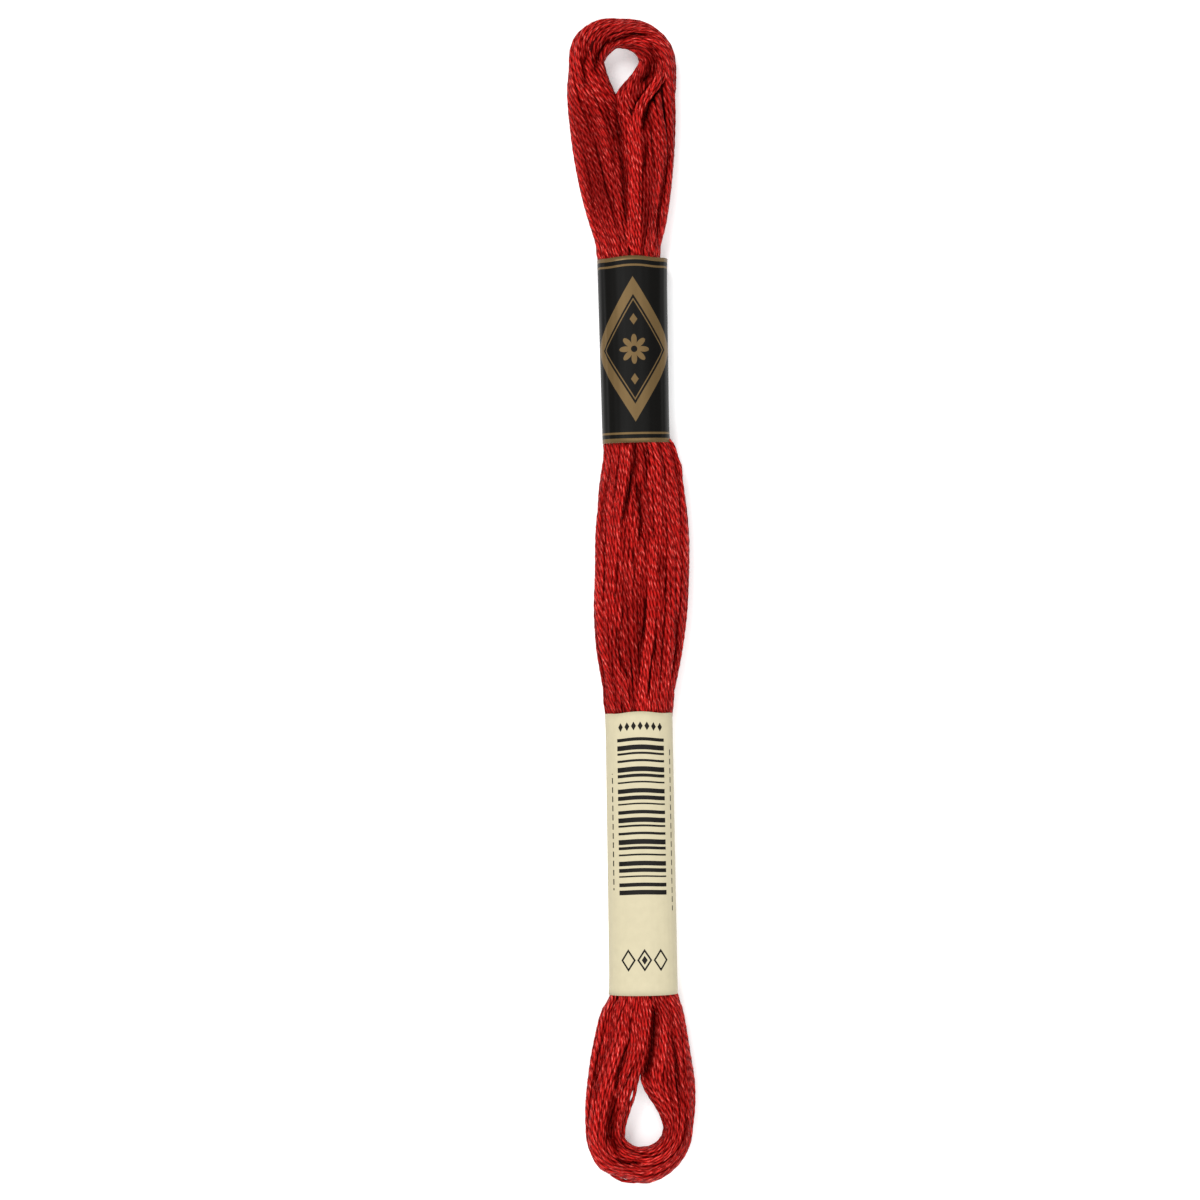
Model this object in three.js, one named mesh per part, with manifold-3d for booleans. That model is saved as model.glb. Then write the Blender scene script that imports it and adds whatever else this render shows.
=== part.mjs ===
// A pull skein of six-strand embroidery cotton: one hank of about 25 turns, pressed flat,
// with an open loop at each end and two paper bands round its middle.
// Millimetres, +Z up. It lies on z = 0 along Y, the short dark band nearer +Y.
import * as THREE from 'three';
import { mergeVertices } from 'three/addons/utils/BufferGeometryUtils.js';
import Module from 'manifold-3d';

// How finely the hank is drawn
const BUNDLES = 8; // bundles of thread round each leg
const POINTS_PER_BUNDLE = 4;
const ROW_PITCH = 3.2; // longest step between sections that show
const HIDDEN_ROW_PITCH = 5.5; // longest step inside a band
const CROWN_STEPS = 6; // sections in each quarter of a loop

// How the thread lies
const GROOVE = 0.5; // mean depth of the grooves between bundles
const GROOVE_UNEVENNESS = 0.4; // share by which a groove's depth changes
const SQUARENESS = 2.15; // 2 is an ellipse, more is squarer
const SEAM_OVERLAP = 0.25; // how far each leg is pressed into the other
const SEAM_START = 0.6; // gap between the legs at which pressing starts
const CROWN_TWIST = 42; // degrees from a loop's top to its leg
const LEG_SWAY = 14; // degrees by which the bundles wander along a leg
const SWAYS = 1.5; // times they wander there and back
const GROOVE_DRIFT = 9; // radians by which the deeper grooves move round along a leg
const LOOP_SHARE = 0.12; // share of a half turn that a loop's twist takes

// The paper
const PAPER = 0.25; // wall of a band
const PAPER_SQUARENESS = 2.3;
const BAND_POINTS = 36; // points round a band
const BAND_STEPS = 3; // steps along a band
const LAP_START = -111; // degrees, where the glued lap starts underneath
const LAP_WIDTH = 42; // degrees
const LAP_RAMP = 12; // degrees over which the paper climbs its own end

// Sections of the two legs from the upper loop down: x of their outer and inner sides, with the
// thickness, the height of the underside, and how far the legs are pressed together (0 to 1).
const LEGS = table(
  ['y', 'leftOuter', 'leftInner', 'rightInner', 'rightOuter', 'thick', 'under', 'press'],
  [
    [75.95, -8.78, -3.73, 0.84, 6.2, 8.0, -0.25, 0.0],
    [74.1, -8.88, -3.24, -0.56, 6.34, 7.9, -0.25, 0.05],
    [72.3, -9.02, -2.58, -1.97, 6.48, 7.7, -0.2, 0.15],
    [71.0, -9.02, -2.32, -2.32, 6.48, 7.6, -0.15, 0.3],
    [66.4, -8.52, -1.41, -1.41, 6.27, 7.4, 0.0, 0.45],
    [59.3, -7.33, -0.7, -0.7, 5.7, 7.1, 0.3, 0.6],
    [53.0, -5.78, -0.14, -0.14, 4.86, 6.6, 0.7, 0.8],
    [48.5, -4.25, 0.14, 0.14, 4.52, 6.1, 1.0, 0.95],
    [42.4, -4.1, 0.22, 0.22, 4.6, 6.1, 1.0, 0.95],
    [22.3, -3.47, 0.7, 0.7, 4.92, 6.1, 1.0, 0.95],
    [18.5, -4.09, 0.85, 0.85, 7.19, 6.9, 0.5, 0.85],
    [14.2, -4.65, 1.13, 1.13, 7.75, 7.6, 0.1, 0.8],
    [7.9, -5.07, 1.41, 1.41, 8.24, 8.1, -0.25, 0.75],
    [0.14, -5.21, 1.41, 1.41, 8.03, 8.2, -0.3, 0.75],
    [-5.5, -4.93, 1.3, 1.3, 7.47, 8.0, -0.25, 0.8],
    [-11.1, -4.09, 1.25, 1.25, 6.41, 7.1, 0.4, 0.9],
    [-15.6, -3.06, 1.2, 1.2, 5.34, 6.1, 1.0, 0.95],
    [-55.5, -2.5, 1.97, 1.97, 6.1, 6.1, 1.0, 0.95],
    [-58.3, -4.16, 2.4, 2.4, 7.33, 6.6, 0.6, 0.7],
    [-61.9, -5.07, 2.5, 2.5, 8.03, 7.2, 0.2, 0.5],
    [-64.7, -5.64, 1.9, 1.9, 8.45, 7.5, 0.0, 0.3],
    [-67.2, -5.99, 1.27, 1.27, 8.84, 7.6, -0.15, 0.15],
    [-69.6, -6.27, 0.72, 2.14, 9.02, 7.7, -0.2, 0.05],
    [-71.7, -6.41, -0.13, 3.5, 9.02, 7.9, -0.25, 0.0],
    [-74.25, -6.38, -0.98, 4.48, 8.67, 8.0, -0.25, 0.0],
  ],
);

// The loops round their centres: radii of the inner and outer sides, 0 degrees to the right,
// 90 at the tip of the loop, 180 to the left.
const CROWN_COLUMNS = ['angle', 'inner', 'outer'];
const UPPER_CROWN = {
  centre: new THREE.Vector2(-1.48, 75.95),
  up: 1,
  radii: table(CROWN_COLUMNS, [
    [0, 2.32, 7.68],
    [30, 2.4, 7.12],
    [60, 2.25, 6.41],
    [90, 2.18, 6.05],
    [120, 2.11, 6.86],
    [150, 2.18, 7.33],
    [180, 2.25, 7.3],
  ]),
};
const LOWER_CROWN = {
  centre: new THREE.Vector2(1.76, -74.25),
  up: -1,
  radii: table(CROWN_COLUMNS, [
    [0, 2.72, 6.91],
    [30, 2.8, 6.8],
    [60, 2.93, 7.19],
    [90, 2.98, 7.75],
    [120, 3.12, 8.24],
    [150, 3.1, 8.31],
    [180, 2.74, 8.14],
  ]),
};

// Where each band starts and ends, its outer sides there, and its underside and top
const BANDS = table(
  ['name', 'color', 'y', 'length', 'left', 'right', 'endLeft', 'endRight', 'under', 'top'],
  [
    ['upper_band', 0x1c1f24, 48.5, 26.2, -4.8, 5.07, -4.02, 5.47, 0.45, 7.65],
    ['lower_band', 0xe6dfba, -15.6, 39.9, -3.61, 5.89, -3.05, 6.65, 0.45, 7.65],
  ],
);

const THREAD_COLOR = 0xb01c22;
const THREAD_ROUGHNESS = 0.7;
const PAPER_ROUGHNESS = 0.6;
const QUARTER = Math.PI / 2;
const WELD_DISTANCE = 1e-4;
const AROUND = BUNDLES * POINTS_PER_BUNDLE;

function table(columns, rows) {
  return rows.map((row) => Object.fromEntries(columns.map((name, i) => [name, row[i]])));
}

// Slope of a column at row i, flat where the column turns, so that curves never overshoot
function slopeAt(rows, key, name, i) {
  if (i === 0 || i === rows.length - 1) return 0;
  const before = (rows[i][name] - rows[i - 1][name]) / (rows[i][key] - rows[i - 1][key]);
  const after = (rows[i + 1][name] - rows[i][name]) / (rows[i + 1][key] - rows[i][key]);
  return before * after <= 0 ? 0 : (2 * before * after) / (before + after);
}

// A column's value between its rows, on a smooth curve
function valueAt(rows, key, name, at) {
  const rising = rows[1][key] > rows[0][key];
  const next = Math.max(1, rows.findIndex((row) => (rising ? row[key] >= at : row[key] <= at)));
  const a = rows[next - 1];
  const b = rows[next];
  const span = b[key] - a[key];
  const t = (at - a[key]) / span;
  const startSlope = slopeAt(rows, key, name, next - 1) * span;
  const endSlope = slopeAt(rows, key, name, next) * span;
  const ease = t * t * (3 - 2 * t);
  return a[name] * (1 - ease) + b[name] * ease + startSlope * t * (1 - t) ** 2 + endSlope * t * t * (t - 1);
}

// A section of one leg at height y; side is 1 for the right leg and -1 for the left
function legStation(side, y) {
  const column = (name) => valueAt(LEGS, 'y', name, y);
  const leg = side > 0 ? 'right' : 'left';
  const gap = column('rightInner') - column('leftInner');
  const pressedIn = SEAM_OVERLAP * Math.max(0, 1 - gap / SEAM_START);
  return {
    inner: new THREE.Vector2(column(`${leg}Inner`) - side * pressedIn, y),
    outer: new THREE.Vector2(column(`${leg}Outer`), y),
    thick: column('thick'),
    under: column('under'),
    press: column('press'),
  };
}

// A section of a loop at an angle in degrees
function crownStation(crown, angle) {
  const end = crown.up > 0 ? LEGS[0] : LEGS[LEGS.length - 1];
  const turn = THREE.MathUtils.degToRad(angle);
  const way = new THREE.Vector2(Math.cos(turn), crown.up * Math.sin(turn));
  const at = (name) => crown.centre.clone().addScaledVector(way, valueAt(crown.radii, 'angle', name, angle));
  return { inner: at('inner'), outer: at('outer'), thick: end.thick, under: end.under, press: end.press };
}

// All sections of one half of the hank, from the top of the upper loop to the tip of the lower
function halfStations(side) {
  const stations = [];
  const tip = 90;
  const towardsLeg = -side * (tip / CROWN_STEPS);
  for (let i = 0; i < CROWN_STEPS; i++) {
    stations.push(crownStation(UPPER_CROWN, tip + towardsLeg * i));
  }
  for (let i = 0; i < LEGS.length - 1; i++) {
    const span = LEGS[i].y - LEGS[i + 1].y;
    const hidden = BANDS.some((band) => LEGS[i].y <= band.y && LEGS[i + 1].y >= band.y - band.length);
    const steps = Math.ceil(span / (hidden ? HIDDEN_ROW_PITCH : ROW_PITCH));
    for (let k = 0; k < steps; k++) {
      stations.push(legStation(side, LEGS[i].y - (span * k) / steps));
    }
  }
  stations.push(legStation(side, LEGS[LEGS.length - 1].y));
  for (let i = CROWN_STEPS - 1; i >= 0; i--) {
    stations.push(crownStation(LOWER_CROWN, tip + towardsLeg * i));
  }
  return stations;
}

// How far the bundles have turned round the leg's middle, from 0 at both tips
function rollAt(side, share) {
  const down = THREE.MathUtils.smoothstep(share, 0, LOOP_SHARE);
  const back = THREE.MathUtils.smoothstep(share, 1 - LOOP_SHARE, 1);
  const sway = LEG_SWAY * Math.sin(2 * Math.PI * SWAYS * share);
  return side * THREE.MathUtils.degToRad(CROWN_TWIST * (down - back) + sway);
}

const squared = (value, squareness) => Math.sign(value) * Math.abs(value) ** (2 / squareness);

// A point on a section's rim, or its middle when radius is 0; spin is its angle among the bundles
function rimPoint(station, radius, spin, roll, wave) {
  const width = station.inner.distanceTo(station.outer);
  const middle = 0.5 * (1 - station.press) * width;
  const reachIn = 0.5 * Math.sqrt((1 - station.press) / (1 + station.press)) * width;
  const across = squared(Math.cos(spin + roll), SQUARENESS) * radius;
  const height = squared(Math.sin(spin + roll), SQUARENESS) * radius;
  const cusp = 1 - Math.abs(Math.sin((BUNDLES / 2) * spin));
  const depth = GROOVE * cusp * (1 + GROOVE_UNEVENNESS * Math.sin(2 * spin + wave));
  const outward = across > 0 ? width - middle - depth : Math.max(0, reachIn - depth);
  const u = Math.max(0, middle + across * outward) / width;
  const flat = station.inner.clone().lerp(station.outer, u);
  const z = station.under + station.thick / 2 + height * (station.thick / 2 - depth);
  return new THREE.Vector3(flat.x, flat.y, Math.max(0, z));
}

// One half of the hank: a capped tube whose rings are moved onto the sections
function halfHank(side) {
  const stations = halfStations(side);
  const last = stations.length - 1;
  const geometry = new THREE.CylinderGeometry(1, 1, 1, AROUND, last, false);
  const position = geometry.getAttribute('position');
  for (let i = 0; i < position.count; i++) {
    const row = Math.round((0.5 - position.getY(i)) * last);
    const radius = Math.hypot(position.getX(i), position.getZ(i)) > 0.5 ? 1 : 0;
    const spin = side * (QUARTER - Math.atan2(position.getX(i), position.getZ(i)));
    const share = row / last;
    const wave = side * GROOVE_DRIFT * share * Math.sin(Math.PI * share);
    const point = rimPoint(stations[row], radius, spin, rollAt(side, share), wave);
    position.setXYZ(i, point.x, point.y, point.z);
  }
  return weld(geometry);
}

function weld(geometry) {
  geometry.deleteAttribute('normal');
  geometry.deleteAttribute('uv');
  return mergeVertices(geometry, WELD_DISTANCE);
}

function toManifold(wasm, geometry) {
  const vertProperties = new Float32Array(geometry.getAttribute('position').array);
  const triVerts = new Uint32Array(geometry.getIndex().array);
  return new wasm.Manifold(new wasm.Mesh({ numProp: 3, vertProperties, triVerts }));
}

function fromManifold(solid) {
  const mesh = solid.getMesh();
  const geometry = new THREE.BufferGeometry();
  geometry.setAttribute('position', new THREE.BufferAttribute(mesh.vertProperties, mesh.numProp));
  geometry.setIndex(new THREE.BufferAttribute(mesh.triVerts, 1));
  geometry.computeVertexNormals();
  return geometry;
}

function makeSkein(wasm) {
  const left = toManifold(wasm, halfHank(-1));
  const right = toManifold(wasm, halfHank(1));
  const material = new THREE.MeshStandardMaterial({ color: THREAD_COLOR, roughness: THREAD_ROUGHNESS });
  const skein = new THREE.Mesh(fromManifold(left.add(right)), material);
  skein.name = 'skein';
  return skein;
}

// The rim of a band's section, one side of the paper; the lap's step is where the rim starts
function bandRim(halfWidth, halfHeight, start) {
  const points = [];
  const climbEnd = LAP_START + 360;
  for (let i = 0; i <= BAND_POINTS; i++) {
    const angle = start + (360 * i) / BAND_POINTS;
    const climb = PAPER * THREE.MathUtils.clamp((angle - climbEnd + LAP_RAMP) / LAP_RAMP, 0, 1);
    const turn = THREE.MathUtils.degToRad(angle);
    const x = squared(Math.cos(turn), PAPER_SQUARENESS) * (halfWidth + climb);
    const y = squared(Math.sin(turn), PAPER_SQUARENESS) * (halfHeight + climb);
    points.push(new THREE.Vector2(x, y));
  }
  return points;
}

// A band of paper, its own end glued over its start underneath
function makeBand(band) {
  const halfHeight = (band.top - band.under) / 2;
  const halfWidth = (band.right - band.left) / 2;
  const shape = new THREE.Shape(bandRim(halfWidth, halfHeight, LAP_START + LAP_WIDTH));
  shape.holes.push(new THREE.Path(bandRim(halfWidth - PAPER, halfHeight - PAPER, LAP_START)));
  const along = { depth: band.length, steps: BAND_STEPS, bevelEnabled: false };
  const extruded = new THREE.ExtrudeGeometry(shape, along);
  extruded.rotateX(QUARTER);
  const position = extruded.getAttribute('position');
  for (let i = 0; i < position.count; i++) {
    const share = -position.getY(i) / band.length;
    const left = THREE.MathUtils.lerp(band.left, band.endLeft, share);
    const right = THREE.MathUtils.lerp(band.right, band.endRight, share);
    const x = (left + right) / 2 + (position.getX(i) * (right - left)) / 2 / halfWidth;
    position.setX(i, x);
  }
  const geometry = weld(extruded);
  geometry.computeVertexNormals();
  const material = new THREE.MeshStandardMaterial({ color: band.color, roughness: PAPER_ROUGHNESS });
  const mesh = new THREE.Mesh(geometry, material);
  mesh.name = band.name;
  mesh.position.set(0, band.y, (band.top + band.under) / 2);
  return mesh;
}

const wasm = await Module();
wasm.setup();
const group = new THREE.Group();
group.add(makeSkein(wasm), ...BANDS.map(makeBand));

export default group;
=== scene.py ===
# A pull skein of six-strand embroidery cotton with two paper bands, lying on a pale floor.
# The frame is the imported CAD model; this script adds the threads, the paper and the light.
import functools
import math

import bpy
import numpy as np
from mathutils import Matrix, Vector


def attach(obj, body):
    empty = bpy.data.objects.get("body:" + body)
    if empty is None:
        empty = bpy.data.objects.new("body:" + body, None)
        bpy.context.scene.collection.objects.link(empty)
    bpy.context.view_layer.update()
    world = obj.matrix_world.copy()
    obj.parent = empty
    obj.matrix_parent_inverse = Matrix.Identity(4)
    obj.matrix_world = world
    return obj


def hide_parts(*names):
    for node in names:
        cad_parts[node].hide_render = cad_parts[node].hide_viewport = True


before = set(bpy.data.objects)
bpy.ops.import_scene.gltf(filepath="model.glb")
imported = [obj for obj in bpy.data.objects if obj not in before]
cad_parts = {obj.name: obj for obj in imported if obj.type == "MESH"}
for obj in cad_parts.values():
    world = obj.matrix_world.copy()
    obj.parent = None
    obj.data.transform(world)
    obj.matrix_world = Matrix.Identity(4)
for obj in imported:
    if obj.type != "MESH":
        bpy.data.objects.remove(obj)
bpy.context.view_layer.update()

# Sizes are in millimetres and are scaled by MM when a mesh is made
MM = 0.001
TURNS = 25  # turns of the six-strand thread round the hank
STRANDS = 6  # strands in each turn
STATION_STEP = 1.5  # between the sections of a leg at which strands are laid
FINE_STEPS = 5  # rings of a strand between two stations
SKIN = 0.10  # from the middle of an outer strand to the hank's outline
CORE_DEPTH = 1.6  # from the outline to the dark body behind the strands
CORE_REACH = 1.8  # how far the dark bodies of pressed legs reach into each other
PLY_PITCH = 2.9  # length of one twist of a strand's two plies
STRAND_SPACING = 0.54  # between strands where nothing squeezes them
BAND_TUCK = 3.0  # how far the strands are made inside a band
FLOOR_GAP = 0.02  # between the lowest strands and the surface

# Corners of a strand's section, two plies side by side: along the line through both, and across it
PLY_SECTION = ((0.275, 0), (0.13, 0.2), (-0.13, 0.2), (-0.275, 0), (-0.13, -0.2), (0.13, -0.2))

# The two legs from the upper loop down: x of their outer and inner sides, thickness, height of the
# underside and how far they are pressed together
LEG_COLUMNS = ("y", "left_outer", "left_inner", "right_inner", "right_outer", "thick", "under", "press")
LEGS = (
    (75.95, -8.83, -3.73, 0.84, 6.47, 8.0, -0.25, 0.00),
    (74.10, -8.90, -3.24, -0.56, 6.60, 7.9, -0.25, 0.05),
    (72.30, -9.02, -2.58, -1.97, 6.68, 7.7, -0.20, 0.15),
    (71.00, -9.02, -2.32, -2.32, 6.65, 7.6, -0.15, 0.30),
    (66.40, -8.52, -1.41, -1.41, 6.27, 7.4, 0.00, 0.45),
    (59.30, -7.33, -0.70, -0.70, 5.70, 7.1, 0.30, 0.60),
    (53.00, -5.78, -0.14, -0.14, 4.86, 6.6, 0.70, 0.80),
    (48.50, -4.25, 0.14, 0.14, 3.70, 6.1, 1.00, 0.95),
    (42.40, -4.10, 0.22, 0.22, 4.60, 6.1, 1.00, 0.95),
    (22.30, -3.47, 0.70, 0.70, 4.92, 6.1, 1.00, 0.95),
    (18.50, -4.09, 0.85, 0.85, 7.19, 6.9, 0.50, 0.85),
    (14.20, -4.65, 1.13, 1.13, 7.75, 7.6, 0.10, 0.80),
    (7.90, -5.07, 1.41, 1.41, 8.24, 8.1, -0.25, 0.75),
    (0.14, -5.21, 1.41, 1.41, 8.03, 8.2, -0.30, 0.75),
    (-5.50, -4.93, 1.30, 1.30, 7.47, 8.0, -0.25, 0.80),
    (-11.10, -4.09, 1.25, 1.25, 6.41, 7.1, 0.40, 0.90),
    (-15.60, -3.06, 1.20, 1.20, 5.34, 6.1, 1.00, 0.95),
    (-55.50, -2.50, 1.97, 1.97, 6.10, 6.1, 1.00, 0.95),
    (-58.30, -4.16, 2.40, 2.40, 7.33, 6.6, 0.60, 0.70),
    (-61.90, -5.07, 2.50, 2.50, 8.03, 7.2, 0.20, 0.50),
    (-64.70, -5.64, 1.90, 1.90, 8.45, 7.5, 0.00, 0.30),
    (-67.20, -5.99, 1.05, 1.27, 8.84, 7.6, -0.15, 0.15),
    (-69.20, -6.23, 0.12, 1.99, 9.02, 7.7, -0.20, 0.05),
    (-71.70, -6.41, -0.25, 3.50, 9.02, 7.9, -0.25, 0.00),
    (-74.25, -6.39, -0.98, 4.48, 8.76, 8.0, -0.25, 0.00),
)

# The loops round their centres: radii of the inner and outer sides, 0 degrees to the right,
# 90 at the tip of the loop, 180 to the left
CROWN_COLUMNS = ("angle", "inner", "outer")
CROWN_STEP = 15
UPPER_CENTRE = (-1.48, 75.95)
UPPER_CROWN = (
    (0, 2.32, 7.95),
    (30, 2.40, 7.55),
    (60, 2.25, 6.85),
    (90, 2.18, 6.30),
    (120, 2.11, 7.00),
    (150, 2.18, 7.48),
    (180, 2.25, 7.35),
)
LOWER_CENTRE = (1.76, -74.25)
LOWER_CROWN = (
    (0, 2.72, 7.00),
    (30, 2.80, 7.15),
    (60, 2.93, 7.55),
    (90, 2.98, 8.05),
    (113, 3.10, 7.70),
    (128, 3.12, 8.60),
    (150, 3.10, 8.50),
    (180, 2.74, 8.15),
)

# The paper bands: top edge, length, outer sides at both ends, and the heights of underside and top
BAND_COLUMNS = ("name", "y", "length", "left", "right", "end_left", "end_right", "under", "top")
BANDS = (
    ("upper_band", 48.5, 26.2, -4.80, 5.07, -4.02, 5.47, 0.45, 7.65),
    ("lower_band", -15.6, 39.9, -3.61, 5.89, -3.05, 6.65, 0.45, 7.65),
)
PAPER = 0.12
PAPER_SQUARENESS = 2.3
FRONT = 90  # degrees round the band at the middle of its front
LAP_START = -111  # where the paper starts, underneath
LAP_WIDTH = 42
LAP_RAMP = 12
PAPER_STEPS = 3  # degrees between two columns of the paper
PAPER_ROWS = 40
RIDGE = 0.035  # height of the threads that show through the paper
RIDGE_WAVES = (7, 11, 13, 17, 19, 23, 26, 29, 31)  # once round the band
WAVE_STARTS = (0, 6)
RIDGE_RANGES = ((0.4, 1), (0.1, 0.5), WAVE_STARTS)  # of a wave's size, drift along the band and start
PAPER_INSET = 0.02  # from the band's measured sides to the paper
EDGE_ARC = 0.35  # how far the top edges fall towards their sides
EDGE_WAVE = 0.08
EDGE_WAVES = 5
EDGE_LIFT = 0.10  # how far both edges stand off the thread
EDGE_LIFTS = 3
EDGE_REACH = 1.6

# What is printed on the bands: distances down from the top edge, and across from the front's middle
DARK_RULES = ((0.0, 0.55), (1.15, 1.45), (24.75, 25.05), (25.6, 26.2))
LOZENGE_DOWN = 13.1
LOZENGE_WIDTH = 6.4
LOZENGE_HEIGHT = 10.4
LOZENGE_RINGS = ((0.74, 0.98), (0.66, 0.69))
SMALL_LOZENGES = ((0, 8.9, 0.55, 0.8), (0, 17.3, 0.55, 0.8))
ROSETTE_HEART = 0.9
ROSETTE_PETAL = 1.2
ROSETTE_EYE = 0.45
PETALS = 8
STRIPE_START = 3.6
STRIPE_PITCH = 1.02
STRIPES = 22
STRIPE_WIDTH = 0.46  # middle width, in parts of the pitch
STRIPE_SWELL = 0.24
STRIPE_RHYTHM = 1.9
STRIPE_SIDES = (-3.3, 3.6)
STITCH_WIDTH = 0.22
STITCH_PITCH = 1.3
STITCH_PART = 0.62  # share of the pitch that a stitch takes
STITCH_ROWS = ((-4.4, 8.5, 25.0), (4.6, 5.0, 28.0))

# Rows of diamonds: how many, their pitch, the row's middle, half a diamond's width and height, and
# where it is hollow, in parts of its size
DIAMOND_ROWS = (
    (7, 0.95, (0.1, 2.0), (0.36, 0.62), 0),
    (3, 2.3, (0.2, 34.9), (1.05, 1.6), 0.72),
    (1, 0, (0.2, 34.9), (0.42, 0.64), 0),
)

# Papers: the paper's and the ink's linear red, green and blue, roughness and the ink's metal
DARK_PAPER = ((0.0045, 0.0043, 0.0038), (0.142, 0.091, 0.038), 0.4, 0.3)
PALE_PAPER = ((0.535, 0.48, 0.325), (0.010, 0.009, 0.008), 0.5, 0)
PAPER_BACK = ((0.80, 0.76, 0.62), (0, 0, 0), 0.7, 0)
PAPER_MOTTLE = (0.93, 1.06)
PAPER_GLOSS = 0.08
PAPER_GRAIN = 900  # grains a metre
PAPER_BUMP = (0.3, 0.02)  # strength, and height in millimetres
NOISE_DETAIL = 3

# The cotton's colours: the painted shade between the plies and in the grooves, the lit red on the plies,
# and the painted highlight of its glossy flecks; and the roughness
COTTON = ((0.085, 0.0003, 0.0003), (0.66, 0.017, 0.014), (1.0, 0.24, 0.20), 0.36)
# The colours of the body behind the strands, painted dark as the shade deep among them
SHADE = ((0.04, 0.0004, 0.0005), (0.05, 0.001, 0.001), (0.05, 0.001, 0.001), 0.6)
PLIES = 2
COTTON_METAL = 0.2
COTTON_GLOSS = 0.09
GLOSS_TINT = (1.0, 0.5, 0.45, 1)
CREST = (0.04, 0.36)  # from the line between two plies to where they are fully lit
# Painted shade on the line between two plies: the share of brightness left there
CREST_LEAST = 0.18
FIBRES = (9, 0.9, 1)  # flecks across and along a strand
# Painted highlight flecks along the fibres: where the fibre noise lifts the red, and the least share of
# it
FLECK = (0.35, 0.68)
FLECK_LEAST = 0.55
# Painted highlight: where the fibre noise paints glints of the glossy colour on the plies' crests
GLINT = (0.55, 0.75)
FIBRE_BUMP = 0.4
COTTON_BUMP = (0.6, 0.05)

# The stage in metres and watts, and the camera in millimetres, straight above as in the photo
FLOOR_REACH = 1.5
FLOOR_FINISH = {
    "Base Color": (0.9, 0.9, 0.9, 1),
    "Roughness": 0.8,
    "Emission Color": (1, 1, 1, 1),
    "Emission Strength": 0.28,
}
WORLD_LIGHT = 0.26
LIGHTS = (("key", (-0.26, 0.38, 0.74), 0.38, 5.9), ("fill", (0.08, -0.24, 0.52), 0.5, 2.7))
CAMERA_PLACE = (-4.37, 0.14, 608)
VIEW_DISTANCE = 602  # from the camera to the middle of the skein's height
VIEW_WIDTH = 169.1  # what the picture shows at that distance
SENSOR = 36

# Grooves between bundles on the front, which press the strands down and darken them with painted shade:
# depth, half width, and the places that each runs through
GROOVES = (
    (1.8, 0.40, ((0.4, 23.0), (0.5, 19.6), (-0.3, 15.4), (-1.3, 10.9))),
    (1.0, 0.28, ((2.1, 22.5), (2.2, 19.0), (2.1, 15.4))),
    (1.7, 0.36, ((0.9, 17.0), (1.2, 14.0), (1.4, 10.9), (1.3, 8.5))),
    (1.3, 0.28, ((0.1, 7.8), (0.5, 4.7), (0.4, 1.6))),
    (1.0, 0.28, ((-2.3, 5.0), (-2.5, 2.5), (-2.5, -0.5))),
    (2.0, 0.44, ((2.1, 0.8), (2.0, -3.0), (1.3, -6.6))),
    (1.6, 0.32, ((3.7, -4.0), (2.7, -9.0), (2.1, -13.8))),
    (1.4, 0.36, ((-1.9, -3.2), (-1.6, -7.8), (-0.3, -11.2))),
    (1.3, 0.32, ((6.2, -1.0), (6.5, -6.3), (5.7, -11.2))),
    (1.0, 0.28, ((5.6, 22.0), (6.7, 17.6), (7.0, 12.0))),
    (1.0, 0.28, ((-3.0, 18.5), (-3.8, 14.2), (-4.3, 8.4))),
    (1.0, 0.28, ((4.7, 6.5), (4.9, 3.5), (4.7, 0.3))),
    (1.8, 0.40, ((-5.3, 74.0), (-4.8, 77.0), (-3.5, 78.8), (0.3, 79.9), (3.4, 79.7))),
    (0.5, 1.20, ((-3.8, 71.0), (-2.9, 64.0), (-1.5, 56.0))),
    (0.9, 2.20, ((-6.6, 72.0), (-5.0, 62.0), (-3.0, 52.0))),
    (0.7, 2.60, ((-2.6, 4.0), (1.0, -2.0), (2.5, -12.0))),
    (0.4, 1.20, ((-5.6, 77.0), (-3.2, 80.0), (2.2, 80.2))),
    (1.8, 0.64, ((2.6, 78.6), (3.4, 76.6), (2.9, 74.6), (1.2, 72.9))),
    (1.2, 0.32, ((-6.0, 78.2), (-6.7, 75.5), (-6.5, 71.5))),
    (2.1, 0.40, ((4.9, 73.9), (3.8, 72.1), (2.7, 70.3), (1.9, 68.2), (1.7, 66.0))),
    (1.4, 0.30, ((3.3, 73.6), (2.2, 72.0), (1.0, 70.5), (0.0, 68.4))),
    (1.8, 0.48, ((-2.3, 71.5), (-1.6, 64.5), (-1.1, 60.0), (-0.6, 52.0))),
    (1.2, 0.56, ((-3.8, 70.5), (-3.0, 65.5), (-2.0, 60.0))),
    (1.8, 0.36, ((5.5, 64.5), (4.7, 59.5), (3.9, 55.0), (3.7, 49.5))),
    (1.2, 0.32, ((-4.9, 64.0), (-3.9, 60.0), (-2.6, 55.5), (-2.1, 51.5))),
    (1.3, 0.28, ((2.4, 65.0), (1.6, 60.0), (1.3, 54.0))),
    (2.8, 0.52, ((3.4, -57.0), (3.2, -61.5), (2.7, -65.0), (1.6, -67.6))),
    (1.8, 0.36, ((-0.3, -62.0), (-1.8, -66.4), (-2.3, -69.6))),
    (2.0, 0.64, ((-2.3, -69.0), (-2.8, -72.4), (-2.9, -75.4), (-1.6, -77.6))),
    (1.4, 0.28, ((-2.4, -78.4), (-0.6, -79.2), (1.4, -79.0))),
    (1.2, 0.32, ((-4.6, -62.5), (-5.0, -66.5), (-4.9, -70.5))),
    (1.3, 0.32, ((5.6, -60.5), (6.6, -66.0), (7.2, -71.0))),
)

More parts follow.
